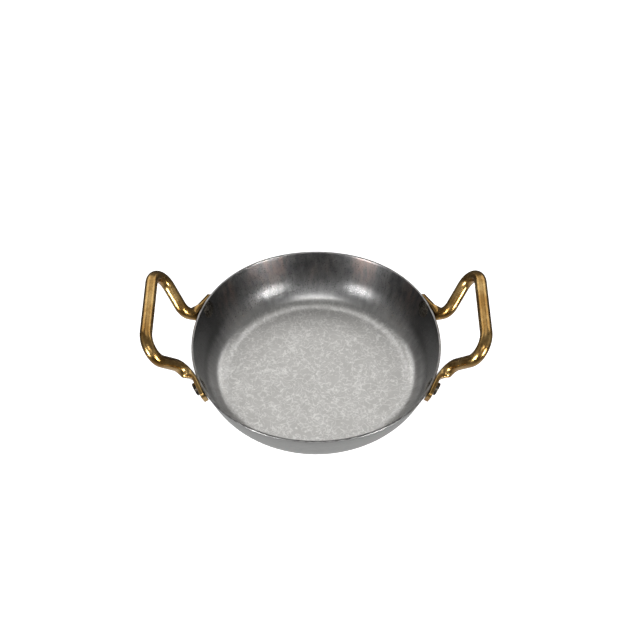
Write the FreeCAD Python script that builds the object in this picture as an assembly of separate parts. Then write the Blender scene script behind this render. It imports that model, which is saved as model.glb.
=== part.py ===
"""Small round steel serving pan with two bent brass rod handles.

Seven pieces: the pan body, two handles, and one solid rivet through each of the four
flattened handle feet. Millimetres, +Z up. The origin is the centre of the underside, the
handles stand out along +X and -X, and the pan is symmetric about X = 0 and about Y = 0.
"""

import FreeCAD, Part
import math
import os

Vector = FreeCAD.Vector
ORIGIN = Vector(0, 0, 0)
UP = Vector(0, 0, 1)

# Pan body: one sheet, with a flat base, a small knee round it, and a wall that sweeps up in a
# long curve into a straight leaning stretch under the rim
RIM_RADIUS = 70.0
PAN_HEIGHT = 30.0
SHEET = 1.2
BASE_RADIUS = 49.4
KNEE_RADIUS = 12.0
KNEE_SLOPE = math.radians(48)
WALL_LEAN = math.radians(18.9)
RIM_ROUNDING = 0.35

# Handle: one round rod with four bends, its two ends pressed flat
ROD_RADIUS = 3.4
GRIP_REACH = 90.3
GRIP_HEIGHT = 57.9
GRIP_HALF_SPAN = 34.9
GRIP_BEND = 10.4

# Foot: the flat end of the rod, placed from the point where it touches the outside of the wall.
# The pressed length of the rod starts fuller than the round rod by PRESS_SWELL.
FOOT_AZIMUTH = 22.2
FOOT_HEIGHT = 25.3
FOOT_LIFT = 1.7
FOOT_SLOPE = 12.0
FOOT_BEND = 9.6
FOOT_CORNER = 11.5
FOOT_TIP = 11.4
FOOT_HALF_WIDTH = 4.8
FOOT_THICKNESS = 2.4
FOOT_SQUARENESS = 6.0
TIP_ROUNDING = 2.4
TIP_CLEARANCE = 0.1
PRESS_ANGLE = 38.0
PRESS_SECTIONS = 7
PRESS_SWELL = 0.02
SECTION_POINTS = 32

# Rivet: dome inside the pan, shank through wall and foot, flat disc outside
RIVET_ALONG = 2.6
SHANK_RADIUS = 2.2
DOME_RADIUS = 4.8
DOME_HEIGHT = 1.3
DOME_EDGE = 0.25
DISC_RADIUS = 3.7
DISC_HEIGHT = 1.8
DISC_ROUNDING = 0.4

SIDES = {"left": -1, "right": 1}
ENDS = {"front": -1, "back": 1}
TOUCH = 0.01


def wall_radius(height):
    """Outside radius of the straight wall at a height."""
    return RIM_RADIUS - (PAN_HEIGHT - height) * math.tan(WALL_LEAN)


def arc_point(centre, radius, slope):
    """Point of an arc in the XZ plane, where it rises at a slope."""
    return centre + Vector(math.sin(slope), 0, -math.cos(slope)) * radius


def arc_between(centre, radius, low, high):
    """Arc in the XZ plane, from where it rises at one slope to where it rises at another."""
    points = [arc_point(centre, radius, slope) for slope in (low, (low + high) / 2, high)]
    return Part.Arc(*points)


def curved_arcs(thickness):
    """Knee and sweep of the sheet's outside, or of the surface a thickness inside it."""
    knee_centre = Vector(BASE_RADIUS, 0, KNEE_RADIUS)
    knee_end = arc_point(knee_centre, KNEE_RADIUS, KNEE_SLOPE)
    across = math.cos(WALL_LEAN) - math.sin(KNEE_SLOPE)
    rise = math.cos(KNEE_SLOPE) - math.sin(WALL_LEAN)
    sweep_radius = (wall_radius(knee_end.z) - knee_end.x) / (across - rise * math.tan(WALL_LEAN))
    sweep_centre = arc_point(knee_end, -sweep_radius, KNEE_SLOPE)
    wall_slope = math.pi / 2 - WALL_LEAN
    knee = arc_between(knee_centre, KNEE_RADIUS - thickness, 0, KNEE_SLOPE)
    sweep = arc_between(sweep_centre, sweep_radius - thickness, KNEE_SLOPE, wall_slope)
    return knee, sweep


def pan_profile():
    """Closed outline of the sheet in the XZ plane, from the axis to the rim and back."""
    outer_knee, outer_sweep = curved_arcs(0)
    inner_knee, inner_sweep = curved_arcs(SHEET)
    rim_outer = Vector(RIM_RADIUS, 0, PAN_HEIGHT)
    rim_inner = rim_outer + Vector(-math.cos(WALL_LEAN), 0, math.sin(WALL_LEAN)) * SHEET
    floor_centre = Vector(0, 0, SHEET)
    edges = [
        Part.LineSegment(ORIGIN, outer_knee.StartPoint),
        outer_knee,
        outer_sweep,
        Part.LineSegment(outer_sweep.EndPoint, rim_outer),
        Part.LineSegment(rim_outer, rim_inner),
        Part.LineSegment(rim_inner, inner_sweep.EndPoint),
        inner_sweep,
        inner_knee,
        Part.LineSegment(inner_knee.StartPoint, floor_centre),
        Part.LineSegment(floor_centre, ORIGIN),
    ]
    return Part.Wire([edge.toShape() for edge in edges])


def pan_body(shanks):
    """The spun sheet, with its cut edge at the rim rounded and a hole for each rivet."""
    pan = Part.Face(pan_profile()).revolve(ORIGIN, UP, 360)
    rim_edges = []
    for edge in pan.Edges:
        if edge.isClosed() and edge.BoundBox.ZMin > PAN_HEIGHT - TOUCH:
            rim_edges.append(edge)
    pan = pan.makeFillet(RIM_ROUNDING, rim_edges)
    for shank in shanks:
        pan = pan.cut(shank)
    return pan


class Foot:
    """Place and directions of the right handle's back foot, flat against the leaning wall."""

    def __init__(self):
        azimuth = math.radians(FOOT_AZIMUTH)
        slope = math.radians(FOOT_SLOPE)
        radial = Vector(math.cos(azimuth), math.sin(azimuth), 0)
        tangent = Vector(-math.sin(azimuth), math.cos(azimuth), 0)
        up_wall = radial * math.sin(WALL_LEAN) + UP * math.cos(WALL_LEAN)
        contact = radial * wall_radius(FOOT_HEIGHT) + UP * FOOT_HEIGHT
        self.out = radial * math.cos(WALL_LEAN) - UP * math.sin(WALL_LEAN)
        self.along = tangent * math.cos(slope) - up_wall * math.sin(slope)
        self.across = up_wall * math.cos(slope) + tangent * math.sin(slope)
        self.middle = contact + up_wall * FOOT_LIFT
        self.rivet = contact + tangent * RIVET_ALONG

    def point(self, along, out):
        """Point on the foot's middle line, or straight out from it."""
        return self.middle + self.along * along + self.out * out

    def cylinder(self, radius, height, start):
        """Cylinder on the rivet's axis, which starts at a distance out from the wall."""
        return Part.makeCylinder(radius, height, self.rivet + self.out * start, self.out)

    def shank(self):
        """The rivet's shank, which ends inside both of its heads."""
        start = -SHEET - DOME_HEIGHT / 2
        end = FOOT_THICKNESS + DISC_HEIGHT / 2
        return self.cylinder(SHANK_RADIUS, end - start, start)


class Bend:
    """Round bend of a rod at the corner between two straight runs."""

    def __init__(self, corner, incoming, outgoing, radius):
        self.turn = incoming.getAngle(outgoing)
        self.setback = radius * math.tan(self.turn / 2)
        self.axis = incoming.cross(outgoing).normalize()
        self.incoming = incoming
        self.start = corner - incoming * self.setback
        self.end = corner + outgoing * self.setback
        self.centre = self.start + self.axis.cross(incoming) * radius

    def rod(self, angle):
        """Round rod through the first part of the bend."""
        return rod_face(self.start, self.incoming).revolve(self.centre, self.axis, math.degrees(angle))


def rod_face(centre, direction):
    """Round cross-section of the rod."""
    return Part.Face(Part.Wire(Part.Circle(centre, direction, ROD_RADIUS).toShape()))


def straight_rod(start, end):
    """Round rod between two points."""
    return rod_face(start, end - start).extrude(end - start)


def pressed_section(axis_point, across, out, share):
    """Rod's outline, pressed by a share from 0 for round to 1 for flat, its inner side in line."""
    start_radius = ROD_RADIUS + PRESS_SWELL
    half_width = start_radius + (FOOT_HALF_WIDTH - start_radius) * share
    half_thickness = start_radius + (FOOT_THICKNESS / 2 - start_radius) * share
    power = 2 + (FOOT_SQUARENESS - 2) * share
    middle = axis_point - out * (ROD_RADIUS - FOOT_THICKNESS / 2) * share
    points = []
    for step in range(SECTION_POINTS):
        angle = 2 * math.pi * step / SECTION_POINTS
        reach = (abs(math.cos(angle)) ** power + abs(math.sin(angle)) ** power) ** (-1 / power)
        sideways = across * (half_width * reach * math.cos(angle))
        outward = out * (half_thickness * reach * math.sin(angle))
        points.append(middle + sideways + outward)
    curve = Part.BSplineCurve()
    curve.interpolate(Points=points, PeriodicFlag=True)
    return Part.Wire(curve.toShape())


def pressed_bend(foot, bend):
    """Last part of the foot's bend, where the round rod turns into the flat foot."""
    sections = []
    for step in range(PRESS_SECTIONS):
        share = step / (PRESS_SECTIONS - 1)
        smooth_share = share * share * (3 - 2 * share)
        back = FreeCAD.Rotation(bend.axis, PRESS_ANGLE * (share - 1))
        axis_point = bend.centre + back.multVec(bend.end - bend.centre)
        across = back.multVec(foot.across)
        out = back.multVec(foot.out)
        sections.append(pressed_section(axis_point, across, out, smooth_share))
    return Part.makeLoft(sections, True, False)


def flat_foot(foot, start):
    """Flat end of the rod, from the end of its bend to its tip with two rounded corners."""
    outline = pressed_section(foot.point(start, ROD_RADIUS), foot.across, foot.out, 1)
    strip = Part.Face(outline).extrude(foot.along * (FOOT_TIP - start))
    half_width = FOOT_HALF_WIDTH + TIP_CLEARANCE
    corners = []
    for along, across in ((start, -1), (FOOT_TIP, -1), (FOOT_TIP, 1), (start, 1), (start, -1)):
        corners.append(foot.point(along, -TIP_CLEARANCE) + foot.across * half_width * across)
    thickness = foot.out * (FOOT_THICKNESS + 2 * TIP_CLEARANCE)
    block = Part.Face(Part.makePolygon(corners)).extrude(thickness)
    tip_edges = [edge for edge in block.Edges if is_tip_corner(foot, edge)]
    return strip.common(block.makeFillet(TIP_ROUNDING, tip_edges))


def is_tip_corner(foot, edge):
    """True for an edge through the foot's thickness at its tip."""
    for vertex in edge.Vertexes:
        if (vertex.Point - foot.middle).dot(foot.along) < FOOT_TIP - TOUCH:
            return False
    return abs((edge.Vertexes[0].Point - edge.Vertexes[1].Point).dot(foot.out)) > FOOT_THICKNESS


def half_handle(foot):
    """Right handle from the middle of its grip to its back foot."""
    grip_direction = Vector(0, 1, 0)
    grip_middle = Vector(GRIP_REACH, 0, GRIP_HEIGHT)
    grip_corner = Vector(GRIP_REACH, GRIP_HALF_SPAN, GRIP_HEIGHT)
    foot_corner = foot.point(-FOOT_CORNER, ROD_RADIUS)
    leg_direction = (foot_corner - grip_corner).normalize()
    grip_bend = Bend(grip_corner, grip_direction, leg_direction, GRIP_BEND)
    foot_bend = Bend(foot_corner, leg_direction, foot.along, FOOT_BEND)
    pieces = [
        straight_rod(grip_middle, grip_bend.start),
        grip_bend.rod(grip_bend.turn),
        straight_rod(grip_bend.end, foot_bend.start),
        foot_bend.rod(foot_bend.turn - math.radians(PRESS_ANGLE)),
        pressed_bend(foot, foot_bend),
        flat_foot(foot, foot_bend.setback - FOOT_CORNER),
    ]
    return pieces[0].multiFuse(pieces[1:]).cut(foot.shank())


def right_handle(foot):
    """Whole right handle: two halves that meet in the middle of the grip."""
    back_half = half_handle(foot)
    return back_half.fuse(mirrored(back_half, 1, -1)).removeSplitter()


def rivet(foot, pan):
    """Solid rivet, turned from one outline, its dome seated on the hollow side of the wall."""

    def point(radius, out):
        return foot.rivet + foot.across * radius + foot.out * out

    dome_top = -SHEET - DOME_HEIGHT
    dome_edge = -SHEET - DOME_EDGE
    sphere_radius = (DOME_RADIUS ** 2 + (DOME_HEIGHT - DOME_EDGE) ** 2) / (2 * (DOME_HEIGHT - DOME_EDGE))
    half_angle = math.asin(DOME_RADIUS / sphere_radius) / 2
    halfway = dome_top + sphere_radius * (1 - math.cos(half_angle))
    disc_top = FOOT_THICKNESS + DISC_HEIGHT
    round_centre = point(DISC_RADIUS - DISC_ROUNDING, disc_top - DISC_ROUNDING)
    round_middle = round_centre + (foot.across + foot.out).normalize() * DISC_ROUNDING
    dome = Part.Arc(
        point(0, dome_top),
        point(sphere_radius * math.sin(half_angle), halfway),
        point(DOME_RADIUS, dome_edge),
    )
    disc_edge = Part.Arc(
        point(DISC_RADIUS, disc_top - DISC_ROUNDING),
        round_middle,
        point(DISC_RADIUS - DISC_ROUNDING, disc_top),
    )
    shank = Part.makePolygon([
        point(DOME_RADIUS, dome_edge),
        point(DOME_RADIUS, -SHEET / 2),
        point(SHANK_RADIUS, -SHEET / 2),
        point(SHANK_RADIUS, FOOT_THICKNESS),
        point(DISC_RADIUS, FOOT_THICKNESS),
        point(DISC_RADIUS, disc_top - DISC_ROUNDING),
    ])
    axis_line = Part.makePolygon([
        point(DISC_RADIUS - DISC_ROUNDING, disc_top),
        point(0, disc_top),
        point(0, dome_top),
    ])
    outline = Part.Wire([dome.toShape(), *shank.Edges, disc_edge.toShape(), *axis_line.Edges])
    return Part.Face(outline).revolve(foot.rivet, foot.out, 360).cut(pan)


def mirrored(shape, side_x, side_y):
    """Copy of a shape from the +X, +Y quarter, for the quarter with the given signs."""
    if side_x < 0:
        shape = shape.mirror(ORIGIN, Vector(1, 0, 0))
    if side_y < 0:
        shape = shape.mirror(ORIGIN, Vector(0, 1, 0))
    return shape


def build():
    """All pieces by name."""
    foot = Foot()
    quarters = {}
    for side, side_x in SIDES.items():
        for end, side_y in ENDS.items():
            quarters[f"rivet_{side}_{end}"] = (side_x, side_y)
    pan = pan_body([mirrored(foot.shank(), *signs) for signs in quarters.values()])
    first_handle = right_handle(foot)
    first_rivet = rivet(foot, pan)
    shapes = {"pan_body": pan}
    for side, side_x in SIDES.items():
        shapes[f"{side}_handle"] = mirrored(first_handle, side_x, 1)
    for name, signs in quarters.items():
        shapes[name] = mirrored(first_rivet, *signs)
    return shapes


os.makedirs("parts", exist_ok=True)
for node, shape in build().items():
    solid = shape.Solids[0]
    solid.exportStep(f"parts/{node}.step")
    print(node, len(shape.Solids), "solid", "valid" if solid.isValid() else "INVALID")
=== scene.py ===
"""Looks of a small steel serving pan with two brass rod handles, built round its CAD frame.

Metres, +Z up. The origin is the centre of the pan's underside, the handles stand out along X,
and the camera looks from the front, from -Y.
"""

import math
import bmesh
import bpy
from mathutils import Matrix, Vector, noise


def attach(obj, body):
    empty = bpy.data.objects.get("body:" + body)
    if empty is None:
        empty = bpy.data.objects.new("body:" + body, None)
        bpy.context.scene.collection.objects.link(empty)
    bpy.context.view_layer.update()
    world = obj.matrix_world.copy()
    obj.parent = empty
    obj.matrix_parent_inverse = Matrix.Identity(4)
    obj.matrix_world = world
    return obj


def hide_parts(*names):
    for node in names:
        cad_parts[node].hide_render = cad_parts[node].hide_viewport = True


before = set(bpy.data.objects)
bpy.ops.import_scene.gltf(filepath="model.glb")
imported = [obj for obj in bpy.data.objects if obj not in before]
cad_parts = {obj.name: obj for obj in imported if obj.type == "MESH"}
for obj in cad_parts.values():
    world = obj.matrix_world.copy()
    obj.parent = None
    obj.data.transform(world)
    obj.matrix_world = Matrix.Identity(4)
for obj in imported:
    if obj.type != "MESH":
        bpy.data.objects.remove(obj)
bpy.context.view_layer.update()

# Pan: the CAD sheet's own outline
RIM_RADIUS = 0.070
PAN_HEIGHT = 0.030
SHEET = 0.0012
BASE_RADIUS = 0.0494
KNEE_RADIUS = 0.012
KNEE_SLOPE = math.radians(48)
WALL_LEAN = math.radians(18.9)
RIM_ROUNDING = 0.00035
SEGMENTS = 288
FLAT_RINGS = 24
KNEE_RINGS = 12
SWEEP_RINGS = 16
WALL_RINGS = 12
EDGE_RINGS = 4

# Pan: how far the hand-finished sheet strays from a true round
ROUNDNESS = {0: 0.00012, 2: -0.00035, 4: -0.0005}
RIPPLE = 0.00006
RIPPLE_SIZE = 0.013

# Pan: ring of painted highlight where the floor turns up into the knee
RING_RADIUS = 0.0515

# Camera
CAMERA_DISTANCE = 0.780
CAMERA_ELEVATION = 50.53
CAMERA_AIM = Vector((0.0021, 0.0, 0.0476))
CAMERA_ROLL = 0.12
CAMERA_LENS = 76.73

# Stage
FLOOR_RADIUS = 6.0
FLOOR_SEGMENTS = 64
FLOOR_TONE = 0.9
FLOOR_GLOW = 0.85

# Studio's tone from straight down (place 0), past the horizon (0.5), to straight up (1)
STUDIO_TONES = ((0.0, 0.85), (0.12, 0.5), (0.25, 0.1), (0.48, 0.1), (0.55, 0.2), (1.0, 0.2))

# Lights: azimuth and elevation in degrees, distance, width, height, radiance
MIDDLE_LIGHTS = {
    "back_light": (180, 57, 0.7, 0.5, 0.62, 0.92),
    "front_strip": (0, 46, 0.64, 0.34, 0.1, 7.2),
    "front_fill": (0, 20, 0.64, 0.4, 0.3, 0.3),
}
SIDE_LIGHTS = {
    "back_corner_light": (137, 29, 0.7, 0.4, 0.32, 1.7),
    "front_corner_light": (41, 5, 0.57, 0.15, 0.18, 42.0),
    "side_fill": (80, 22, 0.6, 0.4, 0.3, 0.25),
}

# Colours, each from the darker to the paler end of its patches
FLOOR_STEEL = ((0.5, 0.49, 0.47), (0.8, 0.79, 0.765))
LOW_WALL_STEEL = ((0.28, 0.28, 0.282), (0.4, 0.4, 0.4))
HIGH_WALL_STEEL = ((0.075, 0.075, 0.077), (0.145, 0.143, 0.141))
HEAT_TINT = ((0.1, 0.08, 0.073), (0.18, 0.145, 0.135))
OUTSIDE_STEEL = ((0.25, 0.25, 0.245), (0.38, 0.38, 0.37))
EDGE_STEEL = ((0.22, 0.215, 0.21), (0.36, 0.355, 0.35))
BRASS = ((0.28, 0.15, 0.04), (0.52, 0.345, 0.135))
RIVET_STEEL = ((0.065, 0.055, 0.042), (0.15, 0.138, 0.118))
# Painted highlight for the ring where the floor turns up into the knee
KNEE_PAINTED_HIGHLIGHT = (0.8, 0.795, 0.785)
# Painted shade for the inner wall's sides by the handles
SIDE_WALL_PAINTED_SHADE = (0.09, 0.09, 0.092)
# Outside wall colour towards the rim
OUTSIDE_RIM_BAND_STEEL = (0.14, 0.14, 0.14)

# Floor pattern: size of a squiggle's swirls, width of its line, weight in the tone
SQUIGGLES = ((0.0036, 0.05, 0.36), (0.0056, 0.04, 0.26))


def arc_point(centre, radius, slope):
    """Point of an arc of the outline, where the sheet rises at a slope."""
    return (centre[0] + radius * math.sin(slope), centre[1] - radius * math.cos(slope))


def sweep_radius():
    """Radius of the wall's long curve, which ends tangent to the straight wall under the rim."""
    knee_end = arc_point((BASE_RADIUS, KNEE_RADIUS), KNEE_RADIUS, KNEE_SLOPE)
    gap = RIM_RADIUS - (PAN_HEIGHT - knee_end[1]) * math.tan(WALL_LEAN) - knee_end[0]
    across = math.cos(WALL_LEAN) - math.sin(KNEE_SLOPE)
    rise = math.cos(KNEE_SLOPE) - math.sin(WALL_LEAN)
    return gap / (across - rise * math.tan(WALL_LEAN))


def curved_points(thickness):
    """Points from the flat base to the straight wall, on the sheet's outside or a thickness inside it."""
    knee_centre = (BASE_RADIUS, KNEE_RADIUS)
    radius = sweep_radius()
    knee_end = arc_point(knee_centre, KNEE_RADIUS, KNEE_SLOPE)
    sweep_centre = (knee_end[0] - radius * math.sin(KNEE_SLOPE), knee_end[1] + radius * math.cos(KNEE_SLOPE))
    wall_slope = math.pi / 2 - WALL_LEAN
    points = []
    for step in range(KNEE_RINGS):
        points.append(arc_point(knee_centre, KNEE_RADIUS - thickness, KNEE_SLOPE * step / KNEE_RINGS))
    for step in range(SWEEP_RINGS + 1):
        slope = KNEE_SLOPE + (wall_slope - KNEE_SLOPE) * step / SWEEP_RINGS
        points.append(arc_point(sweep_centre, radius - thickness, slope))
    return points


def straight_points(start, end, count):
    """Points after the first one, along a straight run of the outline."""
    points = []
    for step in range(1, count + 1):
        share = step / count
        points.append((start[0] + (end[0] - start[0]) * share, start[1] + (end[1] - start[1]) * share))
    return points


def edge_points():
    """The rim's two rounded edges, from the outside to the inside."""
    up = Vector((math.sin(WALL_LEAN), math.cos(WALL_LEAN)))
    inward = Vector((-math.cos(WALL_LEAN), math.sin(WALL_LEAN)))
    corner = Vector((RIM_RADIUS, PAN_HEIGHT))
    points = []
    for middle, turned in ((RIM_ROUNDING, 0), (SHEET - RIM_ROUNDING, 1)):
        centre = corner + inward * middle - up * RIM_ROUNDING
        for step in range(EDGE_RINGS + 1):
            angle = math.pi / 2 * (turned + step / EDGE_RINGS)
            spoke = up * math.sin(angle) - inward * math.cos(angle)
            points.append(tuple(centre + spoke * RIM_ROUNDING))
    return points


def pan_outline():
    """Outline of the sheet from under the middle, out over the rim and back, with the zone of each ring."""
    outer = curved_points(0)
    inner = curved_points(SHEET)[::-1]
    edge = edge_points()
    outline = [(point, "outside") for point in straight_points((0, 0), outer[0], FLAT_RINGS)]
    outline += [(point, "outside") for point in outer[1:]]
    outline += [(point, "outside") for point in straight_points(outer[-1], edge[0], WALL_RINGS)]
    outline += [(point, "edge") for point in edge[1:]]
    outline += [(point, "inside") for point in straight_points(edge[-1], inner[0], WALL_RINGS)]
    outline += [(point, "inside") for point in inner[1:]]
    outline += [(point, "inside") for point in straight_points(inner[-1], (0, SHEET), FLAT_RINGS)[:-1]]
    return outline


def out_of_round(azimuth, height):
    """How far the sheet stands out from a true round, fading out towards the base."""
    stray = 0
    for order, size in ROUNDNESS.items():
        stray += size * math.cos(order * azimuth)
    return stray * min(1, height / PAN_HEIGHT)


def sheet_point(radius, height, azimuth, inside):
    """Place of one point of the sheet, with the small ripples of its inner face."""
    radius += out_of_round(azimuth, height) * radius / RIM_RADIUS
    place = Vector((radius * math.cos(azimuth), radius * math.sin(azimuth), height))
    if inside:
        ripple = noise.noise(place / RIPPLE_SIZE) * RIPPLE
        lift = 1 - min(1, radius / RIM_RADIUS) ** 4
        place.z += ripple * lift
    return place


def build_pan():
    """The pan's sheet as one closed mesh of rings, with its own material for each zone."""
    outline = pan_outline()
    zones = ("outside", "inside", "edge")
    mesh = bmesh.new()
    rings = []
    for (radius, height), zone in outline:
        ring = []
        for segment in range(SEGMENTS):
            azimuth = 2 * math.pi * segment / SEGMENTS
            ring.append(mesh.verts.new(sheet_point(radius, height, azimuth, zone == "inside")))
        rings.append((ring, zone))
    for (lower, _), (upper, zone) in zip(rings, rings[1:]):
        for segment in range(SEGMENTS):
            following = (segment + 1) % SEGMENTS
            face = mesh.faces.new((lower[segment], lower[following], upper[following], upper[segment]))
            face.material_index = zones.index(zone)
    for ring, height, turned, zone in ((rings[0][0], 0, True, 0), (rings[-1][0], SHEET, False, 1)):
        middle = mesh.verts.new((0, 0, height))
        for segment in range(SEGMENTS):
            pair = (ring[segment], ring[(segment + 1) % SEGMENTS])
            face = mesh.faces.new((middle, *(reversed(pair) if turned else pair)))
            face.material_index = zone
    for face in mesh.faces:
        face.smooth = True
    data = bpy.data.meshes.new("pan_sheet")
    mesh.to_mesh(data)
    mesh.free()
    pan = bpy.data.objects.new("pan_sheet", data)
    bpy.context.scene.collection.objects.link(pan)
    for material in (spun_steel(), tumbled_steel(), cut_edge()):
        data.materials.append(material)
    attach(pan, "root")
    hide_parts("pan_body")
    return pan


class Shader:
    """A material's nodes, with a short call for each kind it uses."""

    def __init__(self, name, colour, roughness, metallic=1.0):
        self.material = bpy.data.materials.new(name)
        self.material.use_nodes = True
        self.tree = self.material.node_tree
        self.surface = self.tree.nodes["Principled BSDF"]
        self.surface.inputs["Base Color"].default_value = (*colour, 1)
        self.surface.inputs["Roughness"].default_value = roughness
        self.surface.inputs["Metallic"].default_value = metallic
        self.place = self.node("ShaderNodeTexCoord").outputs["Object"]

    def node(self, kind, **settings):
        made = self.tree.nodes.new(kind)
        for name, value in settings.items():
            setattr(made, name, value)
        return made

    def feed(self, socket, value):
        """A socket takes another node's output or a plain number."""
        if isinstance(value, bpy.types.NodeSocket):
            self.tree.links.new(value, socket)
        else:
            socket.default_value = value

    def math(self, operation, first, second=0.0):
        made = self.node("ShaderNodeMath", operation=operation)
        self.feed(made.inputs[0], first)
        self.feed(made.inputs[1], second)
        return made.outputs[0]

    def vector_math(self, operation, first, second=(0, 0, 0)):
        made = self.node("ShaderNodeVectorMath", operation=operation)
        self.feed(made.inputs[0], first)
        self.feed(made.inputs[1], second)
        return made.outputs["Value" if operation == "LENGTH" else "Vector"]

    def scaled(self, vector, x, y, z):
        return self.vector_math("MULTIPLY", vector, (x, y, z))

    def noise(self, vector, size, detail=2.0, roughness=0.5, distortion=0.0):
        """Cloudy pattern about 0.5, whose patches have a size in metres."""
        made = self.node("ShaderNodeTexNoise")
        self.feed(made.inputs["Vector"], vector)
        made.inputs["Scale"].default_value = 1 / size
        made.inputs["Detail"].default_value = detail
        made.inputs["Roughness"].default_value = roughness
        made.inputs["Distortion"].default_value = distortion
        return made.outputs["Fac"]

    def span(self, value, low, high, to_low=0.0, to_high=1.0, smooth=True):
        """Value's range from low to high, mapped onto another range and held at its ends."""
        made = self.node("ShaderNodeMapRange", interpolation_type="SMOOTHSTEP" if smooth else "LINEAR")
        self.feed(made.inputs["Value"], value)
        made.inputs["From Min"].default_value = low
        made.inputs["From Max"].default_value = high
        made.inputs["To Min"].default_value = to_low
        made.inputs["To Max"].default_value = to_high
        return made.outputs["Result"]

    def mix(self, share, first, second):
        """Colour between two colours."""
        made = self.node("ShaderNodeMix", data_type="RGBA")
        self.feed(made.inputs["Factor"], share)
        for socket, value in (("A_Color", first), ("B_Color", second)):
            target = next(s for s in made.inputs if s.identifier == socket)
            self.feed(target, value if isinstance(value, bpy.types.NodeSocket) else (*value, 1))
        return next(s for s in made.outputs if s.identifier == "Result_Color")

    def bump(self, height, depth, strength=1.0):
        made = self.node("ShaderNodeBump")
        self.feed(made.inputs["Height"], height)
        made.inputs["Distance"].default_value = depth
        made.inputs["Strength"].default_value = strength
        return made.outputs["Normal"]

    def finish(self, colour=None, roughness=None, normal=None):
        for name, value in (("Base Color", colour), ("Roughness", roughness), ("Normal", normal)):
            if value is not None:
                self.feed(self.surface.inputs[name], value)
        return self.material


def floor_tone(shader):
    """Tone of the tumbled floor: pale squiggles over soft clouds, with a fine grain."""
    tone = shader.math("MULTIPLY", shader.noise(shader.place, 0.009, detail=3), 0.3)
    for size, width, weight in SQUIGGLES:
        swirl = shader.noise(shader.place, size, detail=1, distortion=0.8)
        away = shader.math("ABSOLUTE", shader.math("SUBTRACT", swirl, 0.5))
        line = shader.span(away, 0.0, width, 1, 0)
        tone = shader.math("ADD", tone, shader.math("MULTIPLY", line, weight))
    grain = shader.noise(shader.place, 0.0006, detail=2, roughness=0.6)
    return shader.math("ADD", tone, shader.math("MULTIPLY", grain, 0.3))


def wall_tone(shader, spoke, height):
    """Colour of the wall, and its streaks: paler low down, brown in patches, with painted shade on the sides
    by the handles.
    """
    streak_place = shader.vector_math("ADD", spoke, shader.scaled(height, 0, 0, 5))
    streaks = shader.noise(streak_place, 0.045, detail=3, roughness=0.6)
    patches = shader.noise(streak_place, 0.4, detail=2)
    tone = shader.math("ADD", shader.math("MULTIPLY", streaks, 0.65), shader.math("MULTIPLY", patches, 0.35))
    tone = shader.span(tone, 0.3, 0.7)
    low = shader.mix(tone, *LOW_WALL_STEEL)
    high = shader.mix(tone, *HIGH_WALL_STEEL)
    tinted = shader.mix(tone, *HEAT_TINT)
    heat = shader.math("MULTIPLY", shader.span(patches, 0.47, 0.6), shader.span(streaks, 0.35, 0.6))
    high = shader.mix(heat, high, tinted)
    rise = shader.vector_math("LENGTH", height)
    colour = shader.mix(shader.span(rise, 0.004, 0.024), low, high)
    # Painted shade: the wall is darker on the sides by the handles, from a little above the floor up to the
    # rim
    beside = shader.vector_math("LENGTH", shader.scaled(spoke, 1, 0, 0))
    shade = shader.math("MULTIPLY", shader.span(beside, 0.75, 1.0), shader.span(rise, 0.007, 0.013))
    return shader.mix(shade, colour, SIDE_WALL_PAINTED_SHADE), streaks


def tumbled_steel():
    """Inside of the pan: a pale tumbled floor inside a ring of painted highlight, and a darker streaked
    wall.
    """
    shader = Shader("tumbled_steel", (0.5, 0.5, 0.49), 0.25)
    flat = shader.scaled(shader.place, 1, 1, 0)
    radius = shader.vector_math("LENGTH", flat)
    spoke = shader.vector_math("NORMALIZE", flat)
    height = shader.scaled(shader.place, 0, 0, 1)
    grain = shader.noise(shader.place, 0.0006, detail=3, roughness=0.65)
    wall_colour, streaks = wall_tone(shader, spoke, height)

    tone = shader.span(floor_tone(shader), 0.2, 0.8, smooth=False)
    floor_colour = shader.mix(tone, *FLOOR_STEEL)
    # Painted highlight: a pale ring where the floor turns up into the knee, broken up by the streaks
    away = shader.math("ABSOLUTE", shader.math("SUBTRACT", radius, RING_RADIUS))
    on_ring = shader.span(away, 0.0, 0.002, 1, 0)
    knee_highlight = shader.math("MULTIPLY", on_ring, shader.span(streaks, 0.4, 0.6, 0, 0.35))
    floor_colour = shader.mix(knee_highlight, floor_colour, KNEE_PAINTED_HIGHLIGHT)

    edge = shader.math("ADD", radius, shader.math("MULTIPLY", grain, 0.003))
    colour = shader.mix(shader.span(edge, 0.0545, 0.061), floor_colour, wall_colour)
    tumbled = shader.span(radius, 0.05, 0.061, 0.4, 0.31)
    roughness = shader.math("ADD", tumbled, shader.span(grain, 0.35, 0.65, -0.05, 0.09))
    relief = shader.math("ADD", shader.math("MULTIPLY", streaks, 0.3), grain)
    return shader.finish(colour, roughness, shader.bump(relief, 0.00003))


def spun_steel():
    """Outside of the pan: grey, with fine lines round it from spinning."""
    shader = Shader("spun_steel", (0.3, 0.3, 0.3), 0.36)
    radius = shader.vector_math("LENGTH", shader.scaled(shader.place, 1, 1, 0))
    lines = shader.noise(shader.scaled(shader.place, 0.08, 0.08, 1), 0.0005, detail=3, roughness=0.6)
    grain = shader.noise(shader.place, 0.0009, detail=3, roughness=0.7)
    tone = shader.math("ADD", shader.math("MULTIPLY", lines, 0.5), shader.math("MULTIPLY", grain, 0.5))
    colour = shader.mix(shader.span(tone, 0.3, 0.7), *OUTSIDE_STEEL)
    # The outside wall turns darker towards the rim
    rim_band = shader.span(radius, 0.0665, 0.0705, 0, 0.35)
    colour = shader.mix(rim_band, colour, OUTSIDE_RIM_BAND_STEEL)
    return shader.finish(colour, shader.span(grain, 0.3, 0.7, 0.32, 0.42), shader.bump(tone, 0.00003))


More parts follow.
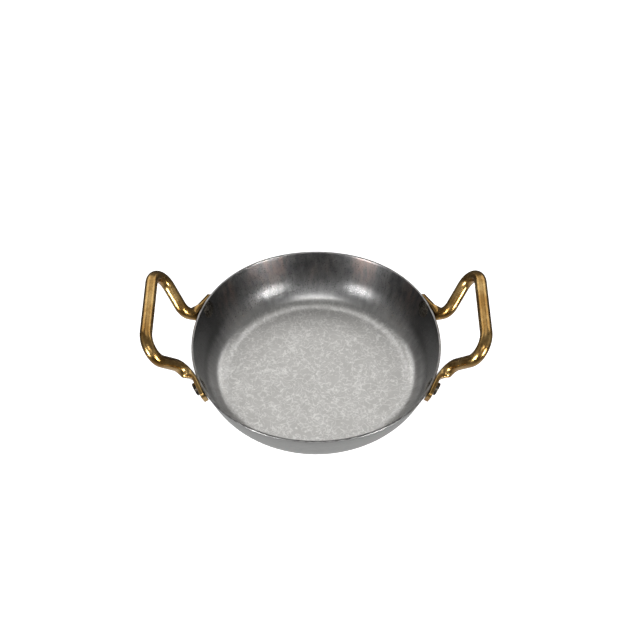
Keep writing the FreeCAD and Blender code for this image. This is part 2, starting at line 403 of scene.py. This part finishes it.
def cut_edge():
    """The rim's cut edge, ground and then darkened again by use."""
    shader = Shader("cut_edge", (0.3, 0.295, 0.29), 0.32)
    nicks = shader.noise(shader.place, 0.003, detail=3)
    colour = shader.mix(shader.span(nicks, 0.35, 0.65), *EDGE_STEEL)
    return shader.finish(colour, shader.span(nicks, 0.3, 0.7, 0.28, 0.38))


def aged_brass():
    """Handles: satin brass, browner in soft patches."""
    shader = Shader("aged_brass", (0.44, 0.285, 0.12), 0.22)
    clouds = shader.noise(shader.place, 0.014, detail=3, roughness=0.55)
    grain = shader.noise(shader.place, 0.0016, detail=2)
    tone = shader.math("ADD", shader.math("MULTIPLY", clouds, 0.8), shader.math("MULTIPLY", grain, 0.2))
    colour = shader.mix(shader.span(tone, 0.35, 0.65), *BRASS)
    return shader.finish(colour, shader.span(clouds, 0.3, 0.7, 0.22, 0.29), shader.bump(clouds, 0.00003))


def dark_rivet_steel():
    """Rivets: dark, slightly pitted steel."""
    shader = Shader("dark_rivet_steel", (0.15, 0.14, 0.12), 0.22)
    pits = shader.noise(shader.place, 0.0011, detail=4, roughness=0.6)
    colour = shader.mix(shader.span(pits, 0.35, 0.65), *RIVET_STEEL)
    return shader.finish(colour, shader.span(pits, 0.3, 0.7, 0.24, 0.34), shader.bump(pits, 0.00004))


def paint(nodes, material):
    """Gives CAD nodes their material."""
    for name in nodes:
        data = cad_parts[name].data
        data.materials.clear()
        data.materials.append(material)


def build_floor():
    """Plain pale floor under the pan."""
    mesh = bmesh.new()
    bmesh.ops.create_circle(mesh, cap_ends=True, radius=FLOOR_RADIUS, segments=FLOOR_SEGMENTS)
    data = bpy.data.meshes.new("floor")
    mesh.to_mesh(data)
    mesh.free()
    floor = bpy.data.objects.new("floor", data)
    bpy.context.scene.collection.objects.link(floor)
    shader = Shader("floor", (FLOOR_TONE, FLOOR_TONE, FLOOR_TONE), 0.8, metallic=0.0)
    shader.surface.inputs["Emission Color"].default_value = (1, 1, 1, 1)
    shader.surface.inputs["Emission Strength"].default_value = FLOOR_GLOW
    data.materials.append(shader.finish())
    floor.visible_glossy = False


def direction(azimuth, elevation):
    """Unit vector to a place round the pan: azimuth 0 is the front, 90 the right, in degrees."""
    across = math.cos(math.radians(elevation))
    turn = math.radians(azimuth)
    return Vector((math.sin(turn) * across, -math.cos(turn) * across, math.sin(math.radians(elevation))))


def softbox(name, azimuth, elevation, distance, width, height, radiance):
    """Rectangular studio light that faces the pan."""
    light = bpy.data.lights.new(name, "AREA")
    light.shape = "RECTANGLE"
    light.size = width
    light.size_y = height
    light.energy = radiance * math.pi * width * height
    lamp = bpy.data.objects.new(name, light)
    toward = direction(azimuth, elevation)
    lamp.matrix_world = (-toward).to_track_quat("-Z", "Y").to_matrix().to_4x4()
    lamp.location = toward * distance
    lamp.visible_camera = False
    bpy.context.scene.collection.objects.link(lamp)


def build_lights():
    """Soft lights over the back and at its corners, a strip over the front and low front corners."""
    for name, settings in MIDDLE_LIGHTS.items():
        softbox(name, *settings)
    for side in (-1, 1):
        for name, (azimuth, *settings) in SIDE_LIGHTS.items():
            softbox(name, azimuth * side, *settings)


def build_world():
    """Dim studio, whose tone depends only on how high a direction points."""
    world = bpy.data.worlds.new("studio")
    bpy.context.scene.world = world
    world.use_nodes = True
    tree = world.node_tree
    coordinates = tree.nodes.new("ShaderNodeTexCoord")
    parts = tree.nodes.new("ShaderNodeSeparateXYZ")
    height = tree.nodes.new("ShaderNodeMapRange")
    height.inputs["From Min"].default_value = -1
    ramp = tree.nodes.new("ShaderNodeValToRGB")
    tree.links.new(coordinates.outputs["Generated"], parts.inputs[0])
    tree.links.new(parts.outputs["Z"], height.inputs["Value"])
    tree.links.new(height.outputs["Result"], ramp.inputs["Fac"])
    tree.links.new(ramp.outputs["Color"], tree.nodes["Background"].inputs["Color"])
    # A new ramp has two stops already
    stops = ramp.color_ramp.elements
    for place, _ in STUDIO_TONES[:-2]:
        stops.new(place)
    for stop, (place, tone) in zip(stops, STUDIO_TONES):
        stop.position = place
        stop.color = (tone, tone, tone, 1)


def build_camera():
    """Camera in front of the pan and above it."""
    data = bpy.data.cameras.new("camera")
    data.lens = CAMERA_LENS
    camera = bpy.data.objects.new("camera", data)
    bpy.context.scene.collection.objects.link(camera)
    place = direction(0, CAMERA_ELEVATION) * CAMERA_DISTANCE
    turn = (CAMERA_AIM - place).to_track_quat("-Z", "Y").to_matrix().to_4x4()
    roll = Matrix.Rotation(math.radians(CAMERA_ROLL), 4, "Z")
    camera.matrix_world = Matrix.Translation(place) @ turn @ roll
    bpy.context.scene.camera = camera


build_pan()
paint(("left_handle", "right_handle"), aged_brass())
rivets = [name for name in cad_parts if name.startswith("rivet")]
paint(rivets, dark_rivet_steel())
build_floor()
build_lights()
build_world()
build_camera()
bpy.context.scene.view_settings.view_transform = "Standard"
